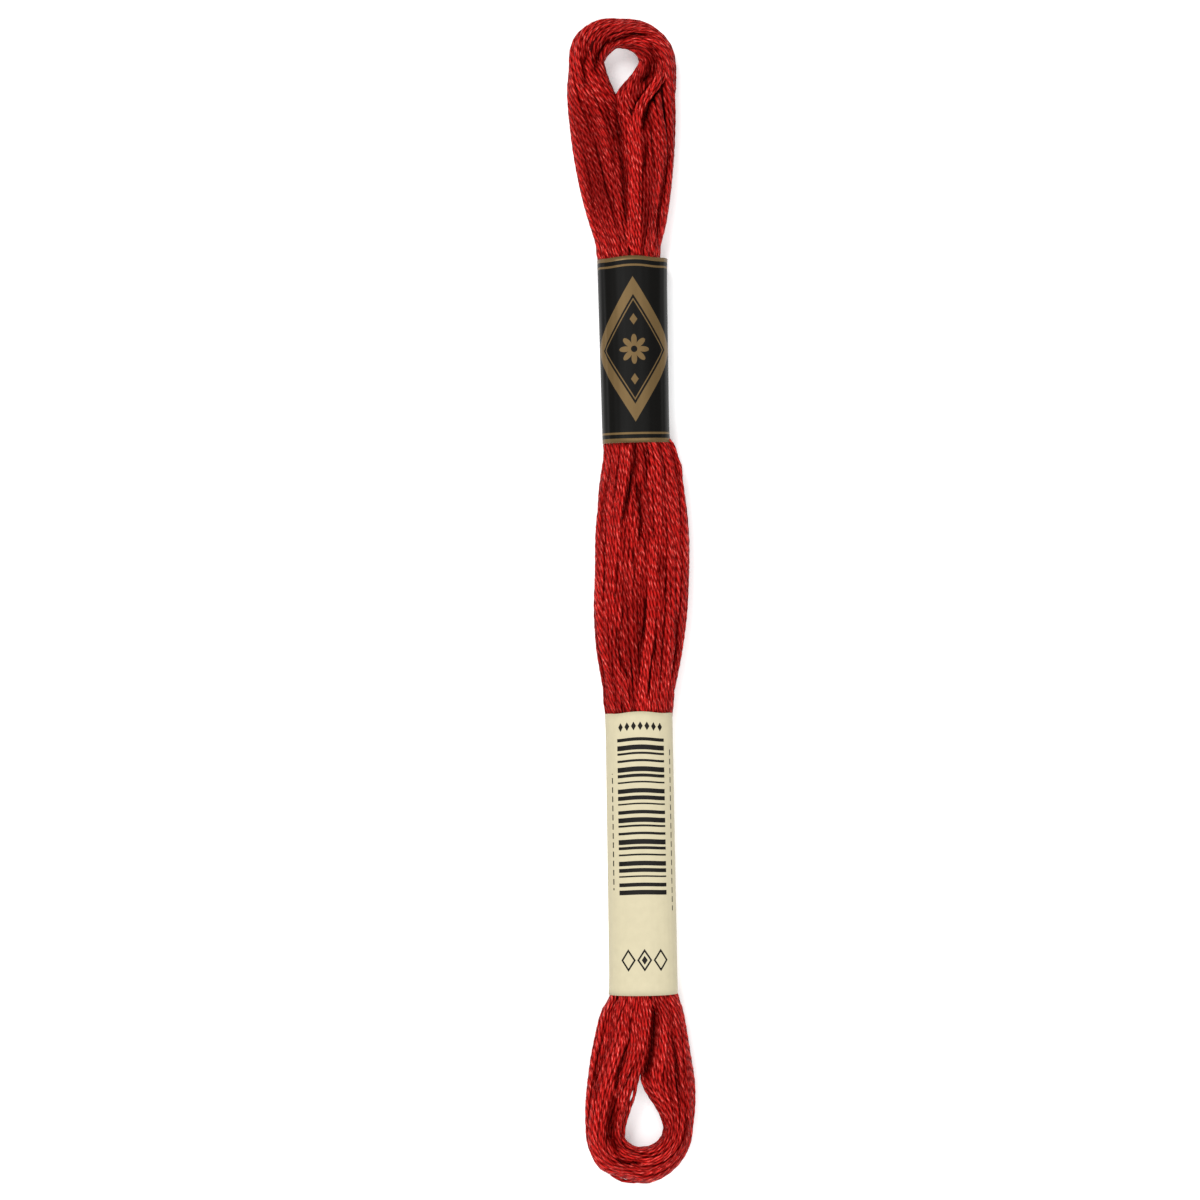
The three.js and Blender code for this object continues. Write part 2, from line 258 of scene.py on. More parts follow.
# Strands that have worked loose from the lower loop: x, y and height along each
LOOSE_STRANDS = (
    (
        (2.0, -63.8, 3.6), (1.6, -65.2, 4.2), (1.15, -66.6, 4.6), (0.85, -67.8, 4.7),
        (0.60, -69.0, 4.6), (0.38, -70.1, 4.5), (-0.05, -71.3, 4.3), (-0.50, -72.7, 4.1),
        (-0.95, -74.4, 3.9), (-1.1, -76.4, 3.7),
    ),
    (
        (-4.9, -77.6, 3.4), (-4.25, -79.0, 3.5), (-3.4, -80.3, 3.6), (-2.4, -81.35, 3.6),
        (-1.2, -81.95, 3.6), (0.1, -82.15, 3.5), (1.5, -82.05, 3.4), (3.0, -81.75, 3.2),
        (4.4, -80.9, 3.0),
    ),
)
RING_STEP = 0.33  # between the rings of such a strand

# Bundles that lie over the others on the front: x and y along the middle strand of each
BUNDLES = (
    (
        (5.0, 76.0), (4.3, 74.0), (3.1, 72.2), (1.95, 70.7), (1.1, 69.1), (0.75, 67.0),
        (0.80, 63.5), (0.95, 58.5), (0.8, 53.0), (0.7, 48.5), (0.7, 46.5),
    ),
    (
        (2.3, -54.5), (2.25, -57.5), (1.95, -61.0), (1.3, -64.5), (0.2, -67.6), (-0.9, -70.2),
        (-1.5, -72.6),
    ),
    ((-0.4, 24.0), (-0.7, 21.5), (-1.3, 16.5), (-2.1, 11.5), (-2.7, 6.0), (-3.0, 0.5), (-2.8, -4.0)),
    ((3.3, 10.5), (3.0, 5.0), (2.9, 0.0), (2.6, -5.0), (1.9, -10.0), (1.4, -15.6), (1.2, -18.0)),
)
BUNDLE_STRANDS = 3
WAY_STEPS = 16  # steps between two of the given places before they are evened out
PITCH_WANDER = 0.08  # how much the twist of such a strand tightens and slackens
PITCH_WAVE = 0.15  # how fast it does so, in radians a millimetre
BUNDLE_SPACING = 0.43
BUNDLE_ROUNDS = 10  # of smoothing a bundle's height
SURFACE_REACH = 1.5  # how far along the skein the strands below are looked for
BUNDLE_RISE = 0.14  # from the middles of the strands below to those of the bundle
BUNDLE_DIVE = 1.2  # how far both ends go down between the others
BUNDLE_DIVE_REACH = 3.0

# How the strands are laid and settled
GROUPS = 5  # meshes that the strands are shared out to
BAND_FILL = 0.36  # how far the strands spread where a band holds them
BAND_FADE = 3.0  # distance from a band's edge over which that ends
FLARE_START = 0.5  # inside the band, where the swelling below begins
FLARE_REACH = 5.0

# How much the legs swell out at once where they leave the bands: the edge, 1 for above it
# or -1 for below, and the swelling of the left and the right leg
FLARES = (
    (48.5, 1, 0.25, 0.05),
    (22.3, -1, 0.00, 0.95),
    (-15.6, 1, 0.45, 0.35),
    (-55.5, -1, 0.05, 0.20),
)
SEED = 11
SQUARENESS = 2.15
UPPER_TWIST = 100  # degrees that the turns roll over in half of the upper loop
LOWER_TWIST = 50
LEG_ROLL = 20  # degrees that they roll back on the way down both legs
LEG_ROLL_START = 0.05
LEG_ROLL_SHARE = 0.22
LOOP_SHARE = 0.11  # share of a half's length over which they do
LEG_SWAY = 14
SWAYS = 1.5
TURN_WANDER = 0.20  # sideways drift of a turn, in parts of the section's radius
STRAND_WANDER = 0.04
TURN_SPREAD = 0.12  # from a turn's middle to its strands
CLOSE = 0.92  # spacing of strands in one turn, in parts of the even spacing
APART = 1.18  # spacing between turns
SETTLE_ROUNDS = 60
PUSH = 0.3  # share of each overlap that one round takes away
LEAST_GAP = 1e-4  # keeps the push finite where two strands meet
HAIR = 1e-6  # a difference too small to count
SMOOTHING = 0.5
LAST_ROUNDS = 6
GROOVE_BASE = 3.0  # height from which the grooves press the strands down, in full at twice that
# Painted shade in the grooves, multiplied into the strands' tone
GROOVE_SHADE = 0.7  # how much darker the strands are down in a groove
GROOVE_TAPER = 4  # power of the fade towards both ends of a groove
PROUD = 0.65  # height by which some turns stand above others
OUTLINE_ANGLES = 72
BLOCK = 16  # stations settled at a time
CROWN_SHARE = 0.06  # share of a half's length that lies in each loop
MIX_START = 0.12  # press at which the legs begin to reach into each other
MIX_RANGE = 0.4
GOLDEN_ANGLE = math.pi * (3 - math.sqrt(5))
TRIANGLE = 0.866  # height of a triangle with sides of 1
PACKING = 0.95  # spacing of strands, in parts of what would fill the section evenly
SPIN_WANDER = 1.5  # how far the strands of a turn twist round each other, in radians
SHOWN_MORE = 2  # stations by which a strand goes on out of sight
CORE_SKIP = 4  # rim places for each corner of the body behind the strands
STRAND_SIZES = (0.78, 1.06)  # thinnest and thickest strand, in parts of the section above
PITCHES = (0.93, 1.08)  # shortest and longest twist, in parts of the usual one

# Lowest and highest number of waves once round the hank in each smooth drift
TURN_WAVES = (2, 7)
SPIN_WAVES = (1, 5)
STRAND_WAVES = (8, 24)
PROUD_WAVES = (3, 9)
TURN_TONE_WAVES = (4, 14)
STRAND_TONE_WAVES = (8, 40)

# Tones of the strands, from 0 for dark to 1 for light: the mean, and spreads by strand, by turn
# and along each strand
TONE = 0.72
TONE_BY_STRAND = 0.13
TONE_BY_TURN = 0.12
TONE_ALONG = 0.10
LOOSE_TONE = 0.8
BUNDLE_TONE = 0.85
BUNDLE_TONE_SPREAD = 0.08


def smooth_columns(columns, rows, at):
    """The columns of a table at the places in at, on smooth curves that never overshoot."""
    rows = np.array(rows, float)
    if rows[0, 0] > rows[-1, 0]:
        rows = rows[::-1]
    key = rows[:, 0]
    step = np.diff(key)
    at = np.asarray(at, float)
    i = np.clip(np.searchsorted(key, at, side="right") - 1, 0, len(key) - 2)
    t = (at - key[i]) / step[i]
    rise = ease(t)
    found = {}
    for c, name in enumerate(columns[1:], start=1):
        value = rows[:, c]
        slope = np.diff(value) / step
        before, after = slope[:-1], slope[1:]
        same_way = before * after > 0
        tangent = np.zeros(len(key))
        tangent[1:-1][same_way] = 2 * (before * after)[same_way] / (before + after)[same_way]
        bend = tangent[i] * t * (1 - t) ** 2 - tangent[i + 1] * t * t * (1 - t)
        found[name] = value[i] * (1 - rise) + value[i + 1] * rise + bend * step[i]
    return found


def ease(t):
    """A smooth step from 0 to 1."""
    t = np.clip(t, 0, 1)
    return t * t * (3 - 2 * t)


def leg_sections(side, y):
    """Sections of one leg at the heights in y, side 1 for the right leg and -1 for the left."""
    column = smooth_columns(LEG_COLUMNS, LEGS, y)
    leg = "right" if side > 0 else "left"
    beyond = [np.abs(y - edge + length / 2) - length / 2 for _, edge, length, *_ in BANDS]
    flare = 0
    for edge, way, left, right in FLARES:
        past = way * (y - edge)
        swelling = right if side > 0 else left
        flare = flare + swelling * ease(past + FLARE_START) * ease(1 - past / FLARE_REACH)
    top, bottom = LEGS[0][0], LEGS[-1][0]
    return {
        "inner": np.c_[column[leg + "_inner"], y],
        "outer": np.c_[column[leg + "_outer"] + side * flare, y],
        "thick": column["thick"],
        "under": column["under"],
        "press": column["press"],
        "side": np.full(len(y), side),
        "share": CROWN_SHARE + (1 - 2 * CROWN_SHARE) * (top - y) / (top - bottom),
        "leg": np.full(len(y), side),
        "mix": ease((column["press"] - MIX_START) / MIX_RANGE),
        "fill": BAND_FILL * ease(1 - np.min(beyond, axis=0) / BAND_FADE),
    }


def crown_sections(centre, up, table, angle):
    """Sections round a loop at the angles in degrees, up 1 for the upper loop and -1 for the lower."""
    column = smooth_columns(CROWN_COLUMNS, table, angle)
    turn = np.radians(angle)
    way = np.c_[np.cos(turn), up * np.sin(turn)]
    end = dict(zip(LEG_COLUMNS, LEGS[0] if up > 0 else LEGS[-1]))
    one = np.ones(len(angle))
    from_tip = CROWN_SHARE * np.abs(angle - 90) / 90
    return {
        "inner": np.array(centre) + way * column["inner"][:, None],
        "outer": np.array(centre) + way * column["outer"][:, None],
        "thick": one * end["thick"],
        "under": one * end["under"],
        "press": one * end["press"],
        "side": np.where(angle > 90, -1, 1),
        "share": from_tip if up > 0 else 1 - from_tip,
        "leg": 0 * one,
        "mix": 0 * one,
        "fill": 0 * one,
    }


def hank_sections():
    """All sections once round the hank, over the upper loop, down the left leg and up the right."""
    top, bottom = LEGS[0][0], LEGS[-1][0]
    down = np.linspace(top, bottom, 1 + round((top - bottom) / STATION_STEP))
    quarter = np.arange(90 // CROWN_STEP) * float(CROWN_STEP)
    half = np.arange(1, 180 // CROWN_STEP) * float(CROWN_STEP)
    parts = [
        crown_sections(UPPER_CENTRE, 1, UPPER_CROWN, 90 + quarter),
        leg_sections(-1, down),
        crown_sections(LOWER_CENTRE, -1, LOWER_CROWN, 180 - half),
        leg_sections(1, down[::-1]),
        crown_sections(UPPER_CENTRE, 1, UPPER_CROWN, CROWN_STEP + quarter[:-1]),
    ]
    hank = {name: np.concatenate([part[name] for part in parts]) for name in parts[0]}
    hank["width"] = np.linalg.norm(hank["outer"] - hank["inner"], axis=1)
    hank["way"] = (hank["outer"] - hank["inner"]) / hank["width"][:, None]
    return hank


def rounded_square(turn, squareness):
    """Cosine and sine of angles, drawn out towards the corners of a square."""
    ring = np.stack([np.cos(turn), np.sin(turn)])
    return np.sign(ring) * np.abs(ring) ** (2 / squareness)


def outline(hank, inset):
    """Each section's rim, moved in by inset: distances from the inner side, and heights."""
    cos, sin = rounded_square(np.linspace(0, math.tau, OUTLINE_ANGLES * 2, endpoint=False), SQUARENESS)
    mix = hank["mix"][:, None]
    inset = inset - hank["fill"][:, None]
    width = hank["width"][:, None] + mix - 2 * inset
    press = hank["press"][:, None]
    middle = 0.5 * (1 - press) * width
    reach_in = 0.5 * np.sqrt((1 - press) / (1 + press)) * width
    across = inset - mix + np.maximum(0, middle + cos * np.where(cos > 0, width - middle, reach_in))
    tall = hank["thick"][:, None] / 2
    height = hank["under"][:, None] + tall + sin * (tall - inset)
    return across, np.maximum(inset + hank["fill"][:, None], height)


def in_space(hank, across, height):
    """x, y and height of places in the sections."""
    flat = hank["inner"][:, None] + hank["way"][:, None] * across[..., None]
    return np.concatenate([flat, height[..., None]], axis=2)


def strand_ways(hank, middle, place):
    """x, y and height of every strand at each station."""
    return in_space(hank, middle[:, None, 0] + place[..., 0], middle[:, None, 1] + place[..., 1])


def leg_stations(hank):
    """Stations of the left leg from the top down, and those of the right leg beside them."""
    return np.flatnonzero(hank["leg"] < 0), np.flatnonzero(hank["leg"] > 0)[::-1]


def both_legs(hank, middle, place):
    """x and height of all strands of both legs, in rows of the same y."""
    ways = strand_ways(hank, middle, place)
    rows = np.concatenate([ways[leg] for leg in leg_stations(hank)], axis=1)
    return rows[..., 0].astype(np.float32), rows[..., 2].astype(np.float32)


def polar_outline(hank, inset):
    """Each section's middle, half sizes, distances to its rim at even angles, and area."""
    across, height = outline(hank, inset)
    middle = np.stack([(across.max(1) + across.min(1)) / 2, (height.max(1) + height.min(1)) / 2], 1)
    half = np.stack([np.ptp(across, axis=1), np.ptp(height, axis=1)], 1) / 2
    u = across - middle[:, :1]
    z = height - middle[:, 1:]
    angle = np.arctan2(z, u) % math.tau
    radius = np.hypot(u, z)
    even = np.arange(OUTLINE_ANGLES) * math.tau / OUTLINE_ANGLES
    rim = np.array([
        np.interp(even, a[order], r[order], period=math.tau)
        for a, r, order in zip(angle, radius, np.argsort(angle, axis=1))
    ])
    area = 0.5 * (rim ** 2).sum(1) * math.tau / OUTLINE_ANGLES
    return middle, half, rim, area


def rim_at(rim, place):
    """Distance from the middle to the rim in the direction of each strand."""
    turn = (np.arctan2(place[..., 1], place[..., 0]) % math.tau) * OUTLINE_ANGLES / math.tau
    first = np.floor(turn).astype(int)
    share = turn - first
    row = np.arange(len(rim))[:, None]
    here = rim[row, first % OUTLINE_ANGLES]
    return here * (1 - share) + rim[row, (first + 1) % OUTLINE_ANGLES] * share


def smooth_noise(random, count, stations, wave_range):
    """Smooth waves once round the hank for count things, each with a spread of about 1."""
    around = np.arange(stations) * math.tau / stations
    waves = np.arange(wave_range[0], wave_range[1] + 1)
    size = random.normal(size=(count, len(waves))) / math.sqrt(len(waves) / 2)
    start = random.uniform(0, math.tau, (count, len(waves)))
    return np.einsum("cw,cws->sc", size, np.sin(waves[:, None] * around + start[..., None]))


def first_places(hank, rim, random):
    """Strands in their turns, spread over each section as on a disc."""
    stations = len(rim)
    share = hank["share"]
    rolled = ease(share / LOOP_SHARE) * ease((1 - share) / LOOP_SHARE)
    twist = UPPER_TWIST + (LOWER_TWIST - UPPER_TWIST) * share
    sway = LEG_SWAY * np.sin(math.tau * SWAYS * share)
    roll = LEG_ROLL * ease((share - LEG_ROLL_START) / LEG_ROLL_SHARE)
    roll = np.radians(roll - hank["side"] * (twist * rolled + sway))
    number = np.arange(TURNS)
    angle = number * GOLDEN_ANGLE + roll[:, None]
    radius = np.sqrt((number + 0.5) / TURNS)
    disc = np.stack([radius * np.cos(angle), radius * np.sin(angle)], 2)
    for axis in range(2):
        disc[..., axis] += TURN_WANDER * smooth_noise(random, TURNS, stations, TURN_WAVES)
    disc = np.repeat(disc, STRANDS, axis=1)
    spun = np.repeat(smooth_noise(random, TURNS, stations, SPIN_WAVES), STRANDS, axis=1)
    spin = np.tile(np.arange(STRANDS) * math.tau / STRANDS, TURNS) + SPIN_WANDER * spun
    disc += TURN_SPREAD * np.stack([np.cos(spin), np.sin(spin)], 2)
    for axis in range(2):
        disc[..., axis] += STRAND_WANDER * smooth_noise(random, TURNS * STRANDS, stations, STRAND_WAVES)
    length = np.maximum(1, np.linalg.norm(disc, axis=2, keepdims=True))
    return disc / length * rim_at(rim, disc)[..., None]


def groove_depth(places):
    """How deep the grooves between bundles are at each place seen from above."""
    depth = np.zeros(places.shape[:-1])
    for most, width, points in GROOVES:
        points = np.array(points, float)
        nearest = np.full(depth.shape, np.inf)
        along = np.zeros(depth.shape)
        for i, (start, end) in enumerate(zip(points[:-1], points[1:])):
            way = end - start
            part = np.clip(((places - start) @ way) / (way @ way), 0, 1)
            gap = np.linalg.norm(places - start - part[..., None] * way, axis=-1)
            closer = gap < nearest
            nearest[closer] = gap[closer]
            along[closer] = ((i + part) / (len(points) - 1))[closer]
        taper = 1 - (2 * along - 1) ** GROOVE_TAPER
        depth = np.maximum(depth, most * taper * np.exp(-(nearest / width) ** 2))
    return depth


def press_grooves(points):
    """Press the upper half of the points down into the grooves; gives how far each one went."""
    depth = groove_depth(points[..., :2]) * np.clip(points[..., 2] / GROOVE_BASE - 1, 0, 1)
    points[..., 2] -= depth
    return depth


def push_apart(x, z, gap):
    """One round of pushing apart the points of each row that are nearer than their gap."""
    for first in range(0, len(x), BLOCK):
        block = slice(first, first + BLOCK)
        away_x = x[block, :, None] - x[block, None]
        away_z = z[block, :, None] - z[block, None]
        distance = np.sqrt(away_x ** 2 + away_z ** 2) + LEAST_GAP
        push = PUSH * np.maximum(0, gap(block) - distance) / distance
        x[block] += np.einsum("kij,kij->ki", away_x, push)
        z[block] += np.einsum("kij,kij->ki", away_z, push)


def settle(hank, place, middle, rim, half, spacing, random):
    """Strands pushed apart until they fill each section, and their ways smoothed."""
    stations, strands = place.shape[:2]
    turn = np.arange(2 * strands) // STRANDS
    reach = np.where(turn[:, None] == turn, CLOSE, APART).astype(np.float32)
    np.fill_diagonal(reach, 0)
    crown = np.flatnonzero(hank["leg"] == 0)
    left, right = leg_stations(hank)
    gaps = spacing.astype(np.float32)[:, None, None]
    leg_gaps = (gaps[left] + gaps[right]) / 2
    proud = 0.5 + 0.5 * np.clip(smooth_noise(random, TURNS, stations, PROUD_WAVES), -1, 1)
    low = PROUD * np.repeat(1 - proud, STRANDS, axis=1)
    for _ in range(SETTLE_ROUNDS):
        u, z = place[crown, :, 0].astype(np.float32), place[crown, :, 1].astype(np.float32)
        push_apart(u, z, lambda block: gaps[crown[block]] * reach[:strands, :strands])
        place[crown, :, 0], place[crown, :, 1] = u, z
        x, z = both_legs(hank, middle, place)
        push_apart(x, z, lambda block: leg_gaps[block] * reach)
        for leg, columns in ((left, slice(0, strands)), (right, slice(strands, None))):
            across = (x[:, columns] - hank["inner"][leg, :1]) * hank["way"][leg, :1]
            place[leg, :, 0] = across - middle[leg, :1]
            place[leg, :, 1] = z[:, columns] - middle[leg, 1:]
        even = smoothed(place / half[:, None])
        place = even * half[:, None]
        length = np.linalg.norm(place, axis=2) + HAIR
        most = rim_at(rim, place) - low * np.abs(even[..., 1])
        place *= np.minimum(1, most / length)[..., None]
    even = place / half[:, None]
    for _ in range(LAST_ROUNDS):
        even = smoothed(even)
    return even * half[:, None]


def smoothed(even):
    """Places moved towards the middle between the stations before and after."""
    return even + SMOOTHING * ((np.roll(even, 1, 0) + np.roll(even, -1, 0)) / 2 - even)


def seen_from_outside(x, z, directions=24, bin_size=0.1, cover=2):
    """Which points of each row show from outside, looked at in its plane from all round."""
    seen = np.zeros(x.shape, bool)
    row = np.broadcast_to(np.arange(len(x))[:, None], x.shape)
    for look in np.arange(directions) * math.tau / directions:
        near = x * math.cos(look) + z * math.sin(look)
        across = z * math.cos(look) - x * math.sin(look)
        column = np.floor((across - across.min()) / bin_size).astype(int) + cover
        front = np.full((len(x), column.max() + cover + 1), -np.inf)
        for shift in range(-cover, cover + 1):
            np.maximum.at(front, (row, column + shift), near)
        for shift in range(-cover, cover + 1):
            seen |= near >= front[row, column + shift] - HAIR
    return seen


def shown_strands(hank, middle, place):
    """Where each strand shows, with a little more at both ends; both legs hide each other."""
    shown = np.zeros(place.shape[:2], bool)
    crown = hank["leg"] == 0
    section = middle[crown, None] + place[crown]
    shown[crown] = seen_from_outside(section[..., 0], section[..., 1])
    both = seen_from_outside(*both_legs(hank, middle, place))
    left, right = leg_stations(hank)
    shown[left], shown[right] = np.split(both, 2, axis=1)
    for _ in range(SHOWN_MORE):
        shown = shown | np.roll(shown, 1, 0) | np.roll(shown, -1, 0)
    return shown


def fine_ways(values, count=FINE_STEPS):
    """Values at closed stations, on smooth curves through them with count steps to a station."""
    before, here = np.roll(values, 1, 0), values
    after, later = np.roll(values, -1, 0), np.roll(values, -2, 0)
    steps = []
    for k in range(count):
        t = k / count
        steps.append(0.5 * (
            2 * here + (after - before) * t + (2 * before - 5 * here + 4 * after - later) * t ** 2
            + (3 * here - before - 3 * after + later) * t ** 3
        ))
    return np.stack(steps, 1).reshape(-1, *values.shape[1:])


def add_object(name, data):
    """A new object in the scene."""
    thing = bpy.data.objects.new(name, data)
    bpy.context.scene.collection.objects.link(thing)
    return thing


def build_mesh(name, points, quads, uv, tone_and_shade):
    """A mesh object from arrays: points in millimetres, quads, and a UV pair for each corner."""
    mesh = bpy.data.meshes.new(name)
    mesh.vertices.add(len(points))
    mesh.vertices.foreach_set("co", (points * MM).astype(np.float32).ravel())
    mesh.loops.add(quads.size)
    mesh.loops.foreach_set("vertex_index", quads.astype(np.int32).ravel())
    mesh.polygons.add(len(quads))
    mesh.polygons.foreach_set("loop_start", np.arange(0, quads.size, 4, dtype=np.int32))
    mesh.polygons.foreach_set("use_smooth", np.ones(len(quads), bool))
    mesh.uv_layers.new(name="UVMap").data.foreach_set("uv", uv.astype(np.float32).ravel())
    mesh.attributes.new("tone_and_shade", "FLOAT", "POINT").data.foreach_set("value", tone_and_shade.astype(np.float32))
    mesh.update(calc_edges=True)
    return add_object(name, mesh)


def strand_pieces(hank, middle, place, spacing, random):
    """The strands that show, shared out to the meshes by turns, and the upper places on them."""
    shown = shown_strands(hank, middle, place)
    y = hank["inner"][:, 1]
    for _, top, length, *_ in BANDS:
        shown[(y < top - BAND_TUCK) & (y > top - length + BAND_TUCK) & (hank["leg"] != 0)] = False
    path = fine_ways(strand_ways(hank, middle, place))
    groove = press_grooves(path)
    size = fine_ways(np.clip(spacing / STRAND_SPACING, *STRAND_SIZES)[:, None])
    kept = np.repeat(shown & np.roll(shown, -1, 0), FINE_STEPS, axis=0)
    rings, strands = path.shape[:2]
    ahead = np.roll(path, -1, 0) - np.roll(path, 1, 0)
    step = np.linalg.norm(np.roll(path, -1, 0) - path, axis=2)
    along = np.cumsum(step, axis=0) - step
    total = step.sum(0)
    pitch = PLY_PITCH * random.uniform(*PITCHES, strands)
    twist = -math.tau * np.round(total / pitch) * along / total + random.uniform(0, math.tau, strands)
    ring = ring_points(path, ahead, size, twist)
    tone_and_shade = TONE + TONE_BY_STRAND * random.normal(size=strands)
    by_turn = smooth_noise(random, TURNS, rings, TURN_TONE_WAVES)
    tone_and_shade = tone_and_shade + TONE_BY_TURN * np.repeat(by_turn, STRANDS, axis=1)
    tone_and_shade += TONE_ALONG * smooth_noise(random, strands, rings, STRAND_TONE_WAVES)
    # Painted shade: strands down in a groove are made darker
    tone_and_shade = np.clip(tone_and_shade * (1 - GROOVE_SHADE * np.minimum(1, groove)), 0, 1)
    pieces = []
    for group in range(GROUPS):
        mine = np.flatnonzero(np.arange(strands) // STRANDS % GROUPS == group)
        parts = [values[:, mine] for values in (ring, kept, along, tone_and_shade)]
        pieces.append(strand_mesh(f"strands_{group + 1}", *parts))
    return pieces, path[kept & (path[..., 2] > GROOVE_BASE)]


def ring_points(path, ahead, size, twist):
    """Corners of a strand's section at every place on its path, turned by twist."""
    ahead = ahead / np.linalg.norm(ahead, axis=2, keepdims=True)
    side = np.cross((0, 0, 1), ahead)
    side /= np.linalg.norm(side, axis=2, keepdims=True)
    up = np.cross(ahead, side)
    cos, sin = (np.cos(twist) * size)[..., None], (np.sin(twist) * size)[..., None]
    section = np.array(PLY_SECTION)
    a, b = section[:, 0], section[:, 1]
    ring = path[:, :, None] + side[:, :, None] * (cos * a - sin * b)[..., None]
    ring += up[:, :, None] * (sin * a + cos * b)[..., None]
    ring[..., 2] = np.maximum(ring[..., 2], FLOOR_GAP)
    return ring


def lengths_along(points):
    """How far along a row of points each of them is."""
    return np.concatenate([[0], np.cumsum(np.linalg.norm(np.diff(points, axis=0), axis=1))])


def even_way(points):
    """Places every RING_STEP on a smooth curve through a row of points."""
    points = np.array(points, float)
    ends = np.concatenate([2 * points[:1] - points[1:2], points, 2 * points[-1:] - points[-2:-1]])
    fine = fine_ways(ends, WAY_STEPS)[WAY_STEPS:1 - 2 * WAY_STEPS]
    along = lengths_along(fine)
    at = np.linspace(0, along[-1], 1 + round(along[-1] / RING_STEP))
    return np.stack([np.interp(at, along, fine[:, k]) for k in range(fine.shape[1])], 1)


def single_strands(name, path, phase, tone_and_shade):
    """A mesh of strands that are open at both ends, from their paths side by side."""
    ahead = np.gradient(path, axis=0)
    along = np.cumsum(np.linalg.norm(ahead, axis=2), axis=0)
    pitch = PLY_PITCH * (1 + PITCH_WANDER * np.sin(phase + PITCH_WAVE * along))
    ring = ring_points(path, ahead, 1, phase - math.tau * along / pitch)
    kept = np.ones(along.shape, bool)
    kept[-1] = False
    return strand_mesh(name, ring, kept, along, np.broadcast_to(tone_and_shade, along.shape))


def laid_bundle(name, points, surface, random):
    """A bundle of parallel strands laid over the surface's places."""
    middle = even_way(points)
    ahead = np.gradient(middle, axis=0)
    across = np.stack([-ahead[:, 1], ahead[:, 0]], 1) / np.linalg.norm(ahead, axis=1, keepdims=True)
    offset = (np.arange(BUNDLE_STRANDS) - (BUNDLE_STRANDS - 1) / 2) * BUNDLE_SPACING
    flat = middle[:, None] + across[:, None] * offset[:, None]
    height = np.zeros(flat.shape[:2])
    for row, places in enumerate(flat):
        near = surface[np.abs(surface[:, 1] - places[0, 1]) < SURFACE_REACH]
        gap = np.linalg.norm(near[:, None, :2] - places, axis=2)
        height[row] = np.where(gap < BUNDLE_SPACING, near[:, 2:], 0).max(0)
    for _ in range(BUNDLE_ROUNDS):
        height[1:-1] = (height[:-2] + 2 * height[1:-1] + height[2:]) / 4
    from_end = RING_STEP * np.minimum(np.arange(len(flat)), np.arange(len(flat))[::-1])
    height += BUNDLE_RISE - BUNDLE_DIVE * (1 - ease(from_end / BUNDLE_DIVE_REACH))[:, None]
    path = np.concatenate([flat, height[..., None]], axis=2)
    phase = random.uniform(0, math.tau, BUNDLE_STRANDS)
    tone_and_shade = BUNDLE_TONE + BUNDLE_TONE_SPREAD * random.normal(size=BUNDLE_STRANDS)
    return single_strands(name, path, phase, tone_and_shade)


def strand_mesh(name, ring, kept, along, tone_and_shade):
    """One mesh of all rings that are joined by kept stretches, closed at both ends of each."""
    rings, strands, corners = ring.shape[:3]
    number = np.arange(rings * strands).reshape(rings, strands) * corners
    after = np.roll(number, -1, 0)
    k = np.arange(corners)
    next_k = (k + 1) % corners
    start, end = number[kept][:, None], after[kept][:, None]
    tube = np.stack([start + k, start + next_k, end + next_k, end + k], 2).reshape(-1, 4)
    lengths = along[kept]
    next_lengths = lengths + STATION_STEP / FINE_STEPS
    tube_uv = np.empty((len(lengths), corners, 4, 2))
    tube_uv[..., 0] = np.stack([k, k + 1, k + 1, k], 1) / corners
    tube_uv[..., 0:2, 1] = lengths[:, None, None]
    tube_uv[..., 2:4, 1] = next_lengths[:, None, None]
    begins = number[kept & ~np.roll(kept, 1, 0)]
    stops = after[kept & ~np.roll(kept, -1, 0)]
    end_cap = np.array([(0, 1, 2, 3), (0, 3, 4, 5)])
    caps = np.concatenate([
        (begins[:, None, None] + end_cap[:, ::-1]).reshape(-1, 4),
        (stops[:, None, None] + end_cap).reshape(-1, 4),
    ])
    quads = np.concatenate([tube, caps])
    uv = np.concatenate([tube_uv.reshape(-1, 2), np.zeros((caps.size, 2))])
    used, quads = np.unique(quads, return_inverse=True)
    tone_and_shade = np.repeat(tone_and_shade.ravel(), corners)[used]
    return build_mesh(name, ring.reshape(-1, 3)[used], quads.reshape(-1, 4), uv, tone_and_shade)


def make_core(hank):
    """The body behind the strands, painted dark as the shade deep among them, one closed ring a little
    inside the outline.
    """
    across, height = outline(dict(hank, mix=hank["mix"] * CORE_REACH), CORE_DEPTH)
    points = in_space(hank, across[:, ::CORE_SKIP], height[:, ::CORE_SKIP])
    press_grooves(points)
    number = np.arange(points.size // 3).reshape(points.shape[:2])
    after = np.roll(number, -1, 0)
    quads = np.stack([number, np.roll(number, -1, 1), np.roll(after, -1, 1), after], 2).reshape(-1, 4)
    no_uv = np.zeros((quads.size, 2))
    return build_mesh("core", points.reshape(-1, 3), quads, no_uv, np.zeros(number.size))


